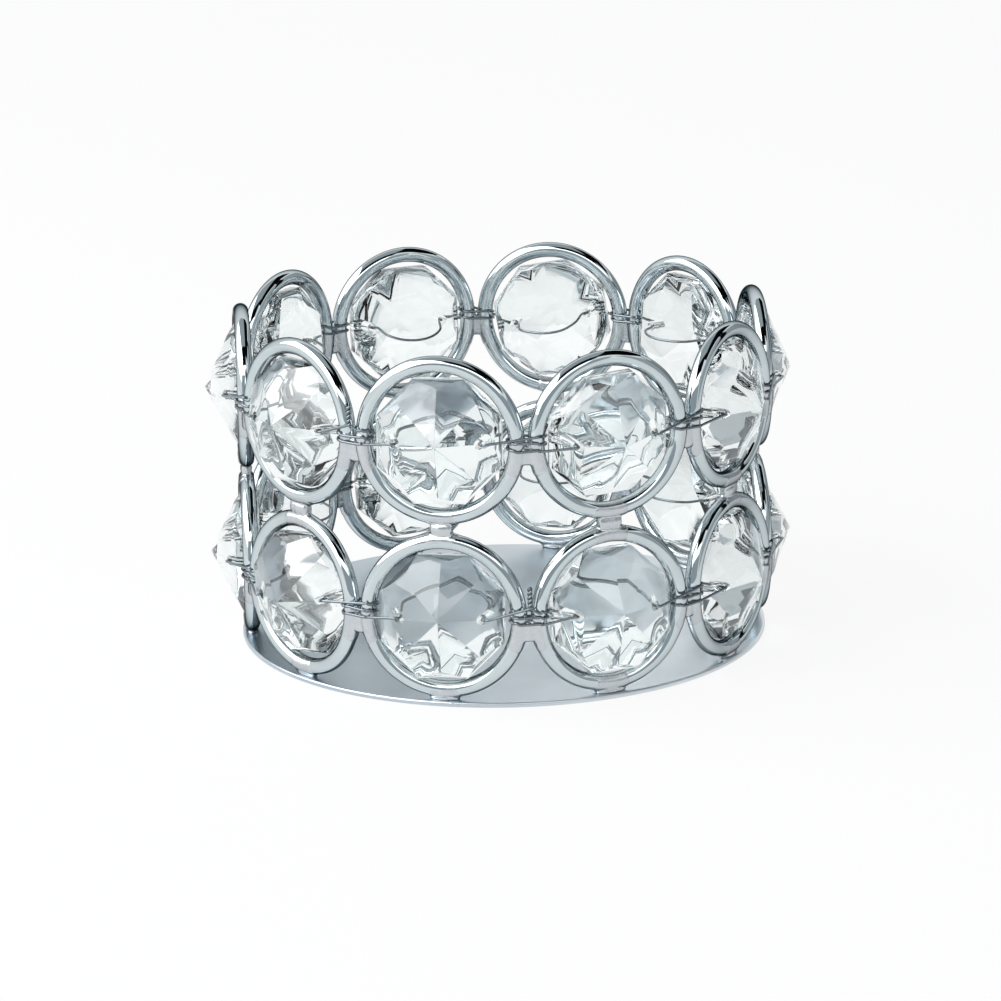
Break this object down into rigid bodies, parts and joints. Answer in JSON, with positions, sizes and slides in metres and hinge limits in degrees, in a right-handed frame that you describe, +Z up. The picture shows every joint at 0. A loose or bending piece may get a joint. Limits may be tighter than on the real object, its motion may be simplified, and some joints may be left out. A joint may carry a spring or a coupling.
{
  "type": "tealight holder",
  "caption": "Open round tealight bowl: octagonal cut-glass beads wired into rows of chromed wire rings, which are brazed to each other and to a flat steel plate.",
  "frame": {"origin": "centre of the base plate's underside, on the surface the bowl stands on", "axes": "+Z up through the open top, -Y towards the front of the picture's view, +X to its right"},
  "size_m": [0.0902, 0.0858, 0.0523],
  "materials": {
    "steel_plate": "polished steel sheet",
    "chromed_wire": "bright chrome plate",
    "crystal_glass": "clear cut and polished",
    "tie_wire": "drawn bright wire"
  },
  "bodies": {
    "frame": {"base_plate": "steel_plate", "lower_ring_01": "chromed_wire", "lower_ring_02": "chromed_wire", "lower_ring_03": "chromed_wire", "lower_ring_04": "chromed_wire", "lower_ring_05": "chromed_wire", "lower_ring_06": "chromed_wire", "lower_ring_07": "chromed_wire", "lower_ring_08": "chromed_wire", "lower_ring_09": "chromed_wire", "lower_ring_10": "chromed_wire", "upper_ring_01": "chromed_wire", "upper_ring_02": "chromed_wire", "upper_ring_03": "chromed_wire", "upper_ring_04": "chromed_wire", "upper_ring_05": "chromed_wire", "upper_ring_06": "chromed_wire", "upper_ring_07": "chromed_wire", "upper_ring_08": "chromed_wire", "upper_ring_09": "chromed_wire", "upper_ring_10": "chromed_wire", "lower_tie_wire": "tie_wire", "upper_tie_wire": "tie_wire"},
    "lower_bead_01": {"lower_crystal_01": "crystal_glass"},
    "lower_bead_02": {"lower_crystal_02": "crystal_glass"},
    "lower_bead_03": {"lower_crystal_03": "crystal_glass"},
    "lower_bead_04": {"lower_crystal_04": "crystal_glass"},
    "lower_bead_05": {"lower_crystal_05": "crystal_glass"},
    "lower_bead_06": {"lower_crystal_06": "crystal_glass"},
    "lower_bead_07": {"lower_crystal_07": "crystal_glass"},
    "lower_bead_08": {"lower_crystal_08": "crystal_glass"},
    "lower_bead_09": {"lower_crystal_09": "crystal_glass"},
    "lower_bead_10": {"lower_crystal_10": "crystal_glass"},
    "upper_bead_01": {"upper_crystal_01": "crystal_glass"},
    "upper_bead_02": {"upper_crystal_02": "crystal_glass"},
    "upper_bead_03": {"upper_crystal_03": "crystal_glass"},
    "upper_bead_04": {"upper_crystal_04": "crystal_glass"},
    "upper_bead_05": {"upper_crystal_05": "crystal_glass"},
    "upper_bead_06": {"upper_crystal_06": "crystal_glass"},
    "upper_bead_07": {"upper_crystal_07": "crystal_glass"},
    "upper_bead_08": {"upper_crystal_08": "crystal_glass"},
    "upper_bead_09": {"upper_crystal_09": "crystal_glass"},
    "upper_bead_10": {"upper_crystal_10": "crystal_glass"}
  },
  "joints": [
    {"name": "lower_bead_01_rock", "type": "hinge", "parent": "frame", "child": "lower_bead_01", "pos_m": [-0.01236, -0.03803, 0.0136], "axis": [0.9511, -0.309, 0], "range_deg": [-4, 4]},
    {"name": "lower_bead_02_rock", "type": "hinge", "parent": "frame", "child": "lower_bead_02", "pos_m": [0.01236, -0.03803, 0.0136], "axis": [0.9511, 0.309, 0], "range_deg": [-4, 4]},
    {"name": "lower_bead_03_rock", "type": "hinge", "parent": "frame", "child": "lower_bead_03", "pos_m": [0.03235, -0.02351, 0.0136], "axis": [0.5878, 0.809, 0], "range_deg": [-4, 4]},
    {"name": "lower_bead_04_rock", "type": "hinge", "parent": "frame", "child": "lower_bead_04", "pos_m": [0.03999, 0, 0.0136], "axis": [0, 1, 0], "range_deg": [-4, 4]},
    {"name": "lower_bead_05_rock", "type": "hinge", "parent": "frame", "child": "lower_bead_05", "pos_m": [0.03235, 0.02351, 0.0136], "axis": [-0.5878, 0.809, 0], "range_deg": [-4, 4]},
    {"name": "lower_bead_06_rock", "type": "hinge", "parent": "frame", "child": "lower_bead_06", "pos_m": [0.01236, 0.03803, 0.0136], "axis": [-0.9511, 0.309, 0], "range_deg": [-4, 4]},
    {"name": "lower_bead_07_rock", "type": "hinge", "parent": "frame", "child": "lower_bead_07", "pos_m": [-0.01236, 0.03803, 0.0136], "axis": [-0.9511, -0.309, 0], "range_deg": [-4, 4]},
    {"name": "lower_bead_08_rock", "type": "hinge", "parent": "frame", "child": "lower_bead_08", "pos_m": [-0.03235, 0.02351, 0.0136], "axis": [-0.5878, -0.809, 0], "range_deg": [-4, 4]},
    {"name": "lower_bead_09_rock", "type": "hinge", "parent": "frame", "child": "lower_bead_09", "pos_m": [-0.03999, 0, 0.0136], "axis": [0, -1, 0], "range_deg": [-4, 4]},
    {"name": "lower_bead_10_rock", "type": "hinge", "parent": "frame", "child": "lower_bead_10", "pos_m": [-0.03235, -0.02351, 0.0136], "axis": [0.5878, -0.809, 0], "range_deg": [-4, 4]},
    {"name": "upper_bead_01_rock", "type": "hinge", "parent": "frame", "child": "upper_bead_01", "pos_m": [-0.01236, -0.03803, 0.0398], "axis": [0.9511, -0.309, 0], "range_deg": [-4, 4]},
    {"name": "upper_bead_02_rock", "type": "hinge", "parent": "frame", "child": "upper_bead_02", "pos_m": [0.01236, -0.03803, 0.0398], "axis": [0.9511, 0.309, 0], "range_deg": [-4, 4]},
    {"name": "upper_bead_03_rock", "type": "hinge", "parent": "frame", "child": "upper_bead_03", "pos_m": [0.03235, -0.02351, 0.0398], "axis": [0.5878, 0.809, 0], "range_deg": [-4, 4]},
    {"name": "upper_bead_04_rock", "type": "hinge", "parent": "frame", "child": "upper_bead_04", "pos_m": [0.03999, 0, 0.0398], "axis": [0, 1, 0], "range_deg": [-4, 4]},
    {"name": "upper_bead_05_rock", "type": "hinge", "parent": "frame", "child": "upper_bead_05", "pos_m": [0.03235, 0.02351, 0.0398], "axis": [-0.5878, 0.809, 0], "range_deg": [-4, 4]},
    {"name": "upper_bead_06_rock", "type": "hinge", "parent": "frame", "child": "upper_bead_06", "pos_m": [0.01236, 0.03803, 0.0398], "axis": [-0.9511, 0.309, 0], "range_deg": [-4, 4]},
    {"name": "upper_bead_07_rock", "type": "hinge", "parent": "frame", "child": "upper_bead_07", "pos_m": [-0.01236, 0.03803, 0.0398], "axis": [-0.9511, -0.309, 0], "range_deg": [-4, 4]},
    {"name": "upper_bead_08_rock", "type": "hinge", "parent": "frame", "child": "upper_bead_08", "pos_m": [-0.03235, 0.02351, 0.0398], "axis": [-0.5878, -0.809, 0], "range_deg": [-4, 4]},
    {"name": "upper_bead_09_rock", "type": "hinge", "parent": "frame", "child": "upper_bead_09", "pos_m": [-0.03999, 0, 0.0398], "axis": [0, -1, 0], "range_deg": [-4, 4]},
    {"name": "upper_bead_10_rock", "type": "hinge", "parent": "frame", "child": "upper_bead_10", "pos_m": [-0.03235, -0.02351, 0.0398], "axis": [0.5878, -0.809, 0], "range_deg": [-4, 4]}
  ]
}
